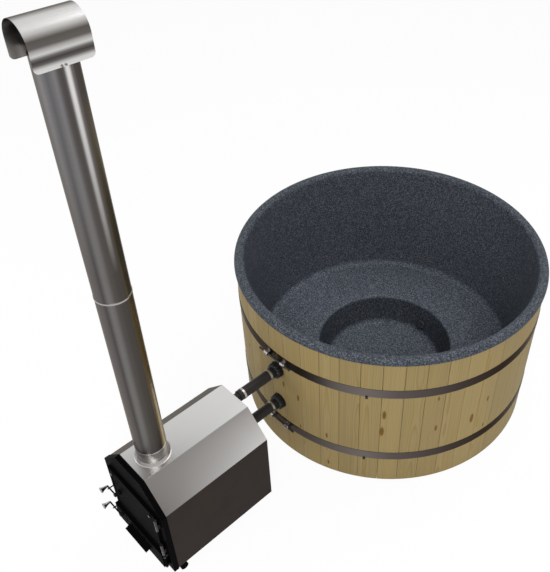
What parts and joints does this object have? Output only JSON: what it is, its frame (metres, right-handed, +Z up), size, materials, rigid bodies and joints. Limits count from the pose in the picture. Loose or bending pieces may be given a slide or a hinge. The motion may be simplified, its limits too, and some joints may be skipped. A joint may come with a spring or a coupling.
{
  "type": "wooden hot tub",
  "caption": "Round wooden tub with a moulded liner, steel hoops and a wood-fired water heater with flue beside it",
  "frame": {"origin": "centre of the tub on the ground, which is the underside of the middle bearer", "axes": "+Z up, the heater stands on the -Y side with its doors facing -Y, the drain is on the +Y side, +X to the right of someone who faces the heater's doors"},
  "size_m": [1.8298, 2.994, 2.8528],
  "materials": {
    "spruce": "planed, clear oil",
    "granite_liner": "speckled gelcoat",
    "hoop_steel": "brushed",
    "chromed": "polished",
    "dark_steel": "matt black",
    "black_plastic": "moulded",
    "hose_rubber": "matt",
    "grille_plastic": "moulded",
    "drain_plastic": "extruded",
    "valve_brass": "turned",
    "steel": "zinc plated",
    "lever_coating": "dipped",
    "stainless": "brushed",
    "brown_steel": "satin",
    "black_casting": "black stove paint",
    "sheet_steel": "bare sheet",
    "glass_rope": "woven"
  },
  "bodies": {
    "tub_and_heater": {"staves": "spruce", "bored_staves": "spruce", "liner": "granite_liner", "upper_hoop": "hoop_steel", "lower_hoop": "hoop_steel", "hoop_lugs": "chromed", "hoop_rods": "dark_steel", "hoop_nuts": "chromed", "hoop_clips": "dark_steel", "base_bearers": "spruce", "base_boards": "spruce", "bench_posts": "spruce", "drain_fitting": "black_plastic", "drain_nut": "black_plastic", "drain_strainer": "grille_plastic", "drain_pipe": "drain_plastic", "valve_body": "valve_brass", "valve_tail": "valve_brass", "wall_unions": "black_plastic", "union_gaskets": "hose_rubber", "union_nuts": "black_plastic", "suction_grilles": "grille_plastic", "hoses": "hose_rubber", "hose_clamps": "chromed", "hose_tails": "black_plastic", "hood": "stainless", "left_panel": "brown_steel", "right_panel": "brown_steel", "rear_panel": "stainless", "floor_tray": "brown_steel", "water_jacket": "stainless", "heater_plug": "black_plastic", "front_plate": "black_casting", "grate": "dark_steel", "ash_pan": "sheet_steel", "foot_stems": "steel", "foot_pads": "hose_rubber", "hinge_posts": "chromed", "ash_hinge_pin": "dark_steel", "keeper_pins": "chromed", "flue_collar": "stainless", "lower_flue": "stainless", "flue_band": "stainless", "upper_flue": "stainless", "rain_cap": "stainless", "cap_screws": "chromed"},
    "fire_door": {"fire_door": "black_casting", "door_baffle": "sheet_steel", "door_rope": "glass_rope", "door_bolts": "chromed", "fire_pivot": "chromed"},
    "fire_latch": {"fire_latch": "dark_steel", "fire_knob": "chromed"},
    "ash_door": {"ash_door": "black_casting", "ash_pivot": "chromed"},
    "ash_latch": {"ash_latch": "dark_steel", "ash_knob": "chromed"},
    "drain_valve": {"valve_ball": "steel", "valve_stem": "steel", "valve_lever": "lever_coating"}
  },
  "joints": [
    {"name": "fire_door_swing", "type": "hinge", "parent": "tub_and_heater", "child": "fire_door", "pos_m": [0.218, -1.875, 0.388], "axis": [0, 0, 1], "range_deg": [0, 110]},
    {"name": "fire_latch_turn", "type": "hinge", "parent": "fire_door", "child": "fire_latch", "pos_m": [-0.147, -1.879, 0.37], "axis": [0, 1, 0], "range_deg": [0, 70]},
    {"name": "ash_door_swing", "type": "hinge", "parent": "tub_and_heater", "child": "ash_door", "pos_m": [0.218, -1.875, 0.165], "axis": [0, 0, 1], "range_deg": [0, 110]},
    {"name": "ash_latch_turn", "type": "hinge", "parent": "ash_door", "child": "ash_latch", "pos_m": [-0.15, -1.891, 0.19], "axis": [0, 1, 0], "range_deg": [0, 70]},
    {"name": "drain_valve_turn", "type": "hinge", "parent": "tub_and_heater", "child": "drain_valve", "pos_m": [0, 0.978, 0.09746], "axis": [0, 0, -1], "range_deg": [0, 90]}
  ]
}
